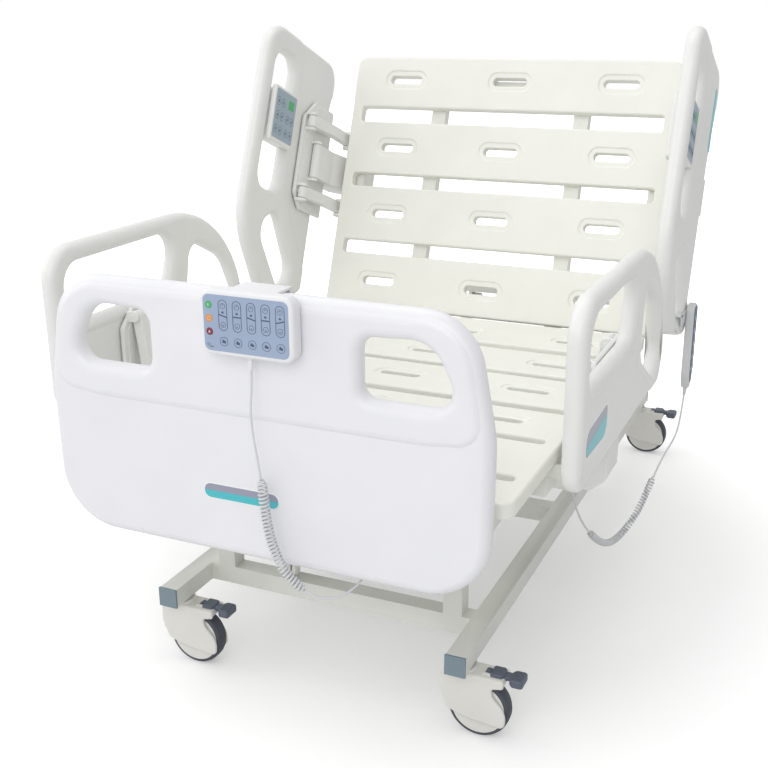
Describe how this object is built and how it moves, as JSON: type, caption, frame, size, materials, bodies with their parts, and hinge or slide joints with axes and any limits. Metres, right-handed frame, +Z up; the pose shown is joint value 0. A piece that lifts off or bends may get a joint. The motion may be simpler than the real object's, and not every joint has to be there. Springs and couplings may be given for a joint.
{
  "type": "hospital bed",
  "caption": "Electric ward bed on castors: a frame that rises level, a four-section deck, fold-down side rails, a lift-off footboard and two corded controls.",
  "frame": {"origin": "on the floor, under the middle of the bed's bounding box", "axes": "+X to the right seen from the foot end, +Y from the foot end to the head end, +Z up"},
  "size_m": [1.119, 1.9885, 1.3056],
  "materials": {
    "base_paint": "semi-gloss powder coat",
    "frame_paint": "semi-gloss powder coat",
    "end_cap": "moulded",
    "steel": "zinc plated",
    "hood": "moulded cream",
    "tyre": "non-marking rubber",
    "pedal": "moulded",
    "actuator": "moulded",
    "rod": "polished",
    "deck": "moulded off-white",
    "rail": "moulded white",
    "arm": "moulded white",
    "screen": "moulded blue-grey",
    "footboard": "moulded white",
    "control": "moulded white with a membrane face",
    "handset": "moulded grey",
    "cord": "light grey cable",
    "box": "moulded"
  },
  "bodies": {
    "base": {"base_frame": "base_paint", "tube_end_caps": "end_cap", "castor_stems": "steel", "foot_lift_actuator_housing": "actuator", "head_lift_actuator_housing": "actuator"},
    "castor_foot_left": {"castor_hood_foot_left": "hood"},
    "wheel_foot_left": {"castor_wheel_foot_left": "tyre"},
    "pedal_foot_left": {"castor_pedal_foot_left": "pedal"},
    "castor_foot_right": {"castor_hood_foot_right": "hood"},
    "wheel_foot_right": {"castor_wheel_foot_right": "tyre"},
    "pedal_foot_right": {"castor_pedal_foot_right": "pedal"},
    "castor_head_left": {"castor_hood_head_left": "hood"},
    "wheel_head_left": {"castor_wheel_head_left": "tyre"},
    "pedal_head_left": {"castor_pedal_head_left": "pedal"},
    "castor_head_right": {"castor_hood_head_right": "hood"},
    "wheel_head_right": {"castor_wheel_head_right": "tyre"},
    "pedal_head_right": {"castor_pedal_head_right": "pedal"},
    "foot_arms": {"foot_lift_arms": "frame_paint"},
    "head_arms": {"head_lift_arms": "frame_paint"},
    "foot_lift_rod": {"foot_lift_actuator_rod": "rod"},
    "head_lift_rod": {"head_lift_actuator_rod": "rod"},
    "platform": {"platform_frame": "frame_paint", "control_box": "box", "seat_panel": "deck", "back_actuator_housing": "actuator", "knee_actuator_housing": "actuator", "nurse_cord_leads": "cord", "nurse_cord_coil": "cord", "handset_cord_leads": "cord", "handset_cord_coil": "cord"},
    "back_rod": {"back_actuator_rod": "rod"},
    "knee_rod": {"knee_actuator_rod": "rod"},
    "backrest": {"back_frame": "frame_paint", "back_panel": "deck"},
    "thigh": {"thigh_frame": "frame_paint", "thigh_panel": "deck"},
    "leg": {"leg_frame": "frame_paint", "leg_panel": "deck"},
    "rail_arms_head_left": {"rail_arms_head_left": "arm"},
    "rail_wide_arm_head_left": {"rail_wide_arm_head_left": "arm"},
    "rail_head_left": {"rail_shell_head_left": "rail", "rail_plate_head_left": "rail", "rail_screen_head_left": "screen"},
    "rail_arms_head_right": {"rail_arms_head_right": "arm"},
    "rail_wide_arm_head_right": {"rail_wide_arm_head_right": "arm"},
    "rail_head_right": {"rail_shell_head_right": "rail", "rail_plate_head_right": "rail", "rail_screen_head_right": "screen"},
    "rail_arms_foot_left": {"rail_arms_foot_left": "arm"},
    "rail_wide_arm_foot_left": {"rail_wide_arm_foot_left": "arm"},
    "rail_foot_left": {"rail_shell_foot_left": "rail", "rail_plate_foot_left": "rail"},
    "rail_arms_foot_right": {"rail_arms_foot_right": "arm"},
    "rail_wide_arm_foot_right": {"rail_wide_arm_foot_right": "arm"},
    "rail_foot_right": {"rail_shell_foot_right": "rail", "rail_plate_foot_right": "rail"},
    "footboard": {"footboard": "footboard", "footboard_hooks": "steel"},
    "nurse_control": {"nurse_control": "control"},
    "handset": {"handset": "handset"}
  },
  "joints": [
    {"name": "castor_swivel_foot_left", "type": "hinge", "parent": "base", "child": "castor_foot_left", "pos_m": [-0.322, -0.746, 0.14], "axis": [0, 0, 1], "continuous": true},
    {"name": "wheel_spin_foot_left", "type": "hinge", "parent": "castor_foot_left", "child": "wheel_foot_left", "pos_m": [-0.288, -0.746, 0.0625], "axis": [0, 1, 0], "continuous": true},
    {"name": "pedal_rock_foot_left", "type": "hinge", "parent": "castor_foot_left", "child": "pedal_foot_left", "pos_m": [-0.272, -0.746, 0.137], "axis": [0, 1, 0], "range_deg": [0, 12]},
    {"name": "castor_swivel_foot_right", "type": "hinge", "parent": "base", "child": "castor_foot_right", "pos_m": [0.322, -0.746, 0.14], "axis": [0, 0, 1], "continuous": true},
    {"name": "wheel_spin_foot_right", "type": "hinge", "parent": "castor_foot_right", "child": "wheel_foot_right", "pos_m": [0.356, -0.746, 0.0625], "axis": [0, 1, 0], "continuous": true},
    {"name": "pedal_rock_foot_right", "type": "hinge", "parent": "castor_foot_right", "child": "pedal_foot_right", "pos_m": [0.372, -0.746, 0.137], "axis": [0, 1, 0], "range_deg": [0, 12]},
    {"name": "castor_swivel_head_left", "type": "hinge", "parent": "base", "child": "castor_head_left", "pos_m": [-0.322, 0.849, 0.14], "axis": [0, 0, 1], "continuous": true},
    {"name": "wheel_spin_head_left", "type": "hinge", "parent": "castor_head_left", "child": "wheel_head_left", "pos_m": [-0.288, 0.849, 0.0625], "axis": [0, 1, 0], "continuous": true},
    {"name": "pedal_rock_head_left", "type": "hinge", "parent": "castor_head_left", "child": "pedal_head_left", "pos_m": [-0.272, 0.849, 0.137], "axis": [0, 1, 0], "range_deg": [0, 12]},
    {"name": "castor_swivel_head_right", "type": "hinge", "parent": "base", "child": "castor_head_right", "pos_m": [0.322, 0.849, 0.14], "axis": [0, 0, 1], "continuous": true},
    {"name": "wheel_spin_head_right", "type": "hinge", "parent": "castor_head_right", "child": "wheel_head_right", "pos_m": [0.356, 0.849, 0.0625], "axis": [0, 1, 0], "continuous": true},
    {"name": "pedal_rock_head_right", "type": "hinge", "parent": "castor_head_right", "child": "pedal_head_right", "pos_m": [0.372, 0.849, 0.137], "axis": [0, 1, 0], "range_deg": [0, 12]},
    {"name": "bed_lift", "type": "hinge", "parent": "base", "child": "foot_arms", "pos_m": [0, -0.64, 0.3], "axis": [1, 0, 0], "range_deg": [-20.5, 29.5]},
    {"name": "platform_level", "type": "hinge", "parent": "foot_arms", "child": "platform", "pos_m": [0, -0.26533, 0.44008], "axis": [1, 0, 0], "range_deg": [-29.5, 20.5]},
    {"name": "head_arms_swing", "type": "hinge", "parent": "base", "child": "head_arms", "pos_m": [0, 0.5, 0.3], "axis": [1, 0, 0], "range_deg": [-20.5, 29.5]},
    {"name": "foot_lift_rod_travel", "type": "slide", "parent": "base", "child": "foot_lift_rod", "axis": [0, 1, 0], "range_m": [-0.0313, 0.045]},
    {"name": "head_lift_rod_travel", "type": "slide", "parent": "base", "child": "head_lift_rod", "axis": [0, 1, 0], "range_m": [-0.0313, 0.045]},
    {"name": "backrest_hinge", "type": "hinge", "parent": "platform", "child": "backrest", "pos_m": [0, 0.2246, 0.53], "axis": [1, 0, 0], "range_deg": [-69, 1]},
    {"name": "back_rod_travel", "type": "slide", "parent": "platform", "child": "back_rod", "axis": [0, 1, 0], "range_m": [-0.1136, 0.0018]},
    {"name": "thigh_hinge", "type": "hinge", "parent": "platform", "child": "thigh", "pos_m": [0, -0.02, 0.522], "axis": [-1, 0, 0], "range_deg": [0, 35]},
    {"name": "knee_hinge", "type": "hinge", "parent": "thigh", "child": "leg", "pos_m": [0, -0.42, 0.522], "axis": [-1, 0, 0], "range_deg": [-64, 0]},
    {"name": "knee_rod_travel", "type": "slide", "parent": "platform", "child": "knee_rod", "axis": [0, 1, 0], "range_m": [-0.0604, 0]},
    {"name": "rail_swing_head_left", "type": "hinge", "parent": "backrest", "child": "rail_arms_head_left", "pos_m": [-0.473, 0.37549, 0.89518], "axis": [0, -0.3584, -0.9336], "range_deg": [0, 160]},
    {"name": "rail_level_head_left", "type": "hinge", "parent": "rail_arms_head_left", "child": "rail_head_left", "pos_m": [-0.488, 0.18878, 0.96685], "axis": [0, -0.3584, -0.9336], "range_deg": [-160, 0]},
    {"name": "rail_wide_arm_swing_head_left", "type": "hinge", "parent": "backrest", "child": "rail_wide_arm_head_left", "pos_m": [-0.473, 0.42217, 0.87726], "axis": [0, -0.3584, -0.9336], "range_deg": [0, 160]},
    {"name": "rail_swing_head_right", "type": "hinge", "parent": "backrest", "child": "rail_arms_head_right", "pos_m": [0.473, 0.37549, 0.89518], "axis": [0, 0.3584, 0.9336], "range_deg": [0, 160]},
    {"name": "rail_level_head_right", "type": "hinge", "parent": "rail_arms_head_right", "child": "rail_head_right", "pos_m": [0.488, 0.18878, 0.96685], "axis": [0, 0.3584, 0.9336], "range_deg": [-160, 0]},
    {"name": "rail_wide_arm_swing_head_right", "type": "hinge", "parent": "backrest", "child": "rail_wide_arm_head_right", "pos_m": [0.473, 0.42217, 0.87726], "axis": [0, 0.3584, 0.9336], "range_deg": [0, 160]},
    {"name": "rail_swing_foot_left", "type": "hinge", "parent": "platform", "child": "rail_arms_foot_left", "pos_m": [-0.473, -0.505, 0.52], "axis": [0, -1, 0], "range_deg": [0, 160]},
    {"name": "rail_level_foot_left", "type": "hinge", "parent": "rail_arms_foot_left", "child": "rail_foot_left", "pos_m": [-0.488, -0.505, 0.72], "axis": [0, -1, 0], "range_deg": [-160, 0]},
    {"name": "rail_wide_arm_swing_foot_left", "type": "hinge", "parent": "platform", "child": "rail_wide_arm_foot_left", "pos_m": [-0.473, -0.505, 0.47], "axis": [0, -1, 0], "range_deg": [0, 160]},
    {"name": "rail_swing_foot_right", "type": "hinge", "parent": "platform", "child": "rail_arms_foot_right", "pos_m": [0.473, -0.505, 0.52], "axis": [0, 1, 0], "range_deg": [0, 160]},
    {"name": "rail_level_foot_right", "type": "hinge", "parent": "rail_arms_foot_right", "child": "rail_foot_right", "pos_m": [0.488, -0.505, 0.72], "axis": [0, 1, 0], "range_deg": [-160, 0]},
    {"name": "rail_wide_arm_swing_foot_right", "type": "hinge", "parent": "platform", "child": "rail_wide_arm_foot_right", "pos_m": [0.473, -0.505, 0.47], "axis": [0, 1, 0], "range_deg": [0, 160]},
    {"name": "footboard_lift_off", "type": "slide", "parent": "platform", "child": "footboard", "axis": [0, 0, 1], "range_m": [0, 0.06]},
    {"name": "nurse_control_lift_off", "type": "slide", "parent": "footboard", "child": "nurse_control", "axis": [0, 0, 1], "range_m": [0, 0.03]},
    {"name": "handset_lift_off", "type": "slide", "parent": "rail_head_right", "child": "handset", "axis": [0, 0, 1], "range_m": [0, 0.03]}
  ],
  "couplings": [
    {"joint": "platform_level", "follows": "bed_lift", "ratio": -1},
    {"joint": "head_arms_swing", "follows": "bed_lift", "ratio": 1},
    {"joint": "foot_lift_rod_travel", "follows": "bed_lift", "m_per_rad": 0.0871},
    {"joint": "head_lift_rod_travel", "follows": "bed_lift", "m_per_rad": 0.0871},
    {"joint": "back_rod_travel", "follows": "backrest_hinge", "m_per_rad": 0.0941},
    {"joint": "knee_hinge", "follows": "thigh_hinge", "ratio": -1.82},
    {"joint": "knee_rod_travel", "follows": "thigh_hinge", "m_per_rad": -0.0984},
    {"joint": "rail_level_head_left", "follows": "rail_swing_head_left", "ratio": -1},
    {"joint": "rail_wide_arm_swing_head_left", "follows": "rail_swing_head_left", "ratio": 1},
    {"joint": "rail_level_head_right", "follows": "rail_swing_head_right", "ratio": -1},
    {"joint": "rail_wide_arm_swing_head_right", "follows": "rail_swing_head_right", "ratio": 1},
    {"joint": "rail_level_foot_left", "follows": "rail_swing_foot_left", "ratio": -1},
    {"joint": "rail_wide_arm_swing_foot_left", "follows": "rail_swing_foot_left", "ratio": 1},
    {"joint": "rail_level_foot_right", "follows": "rail_swing_foot_right", "ratio": -1},
    {"joint": "rail_wide_arm_swing_foot_right", "follows": "rail_swing_foot_right", "ratio": 1}
  ]
}
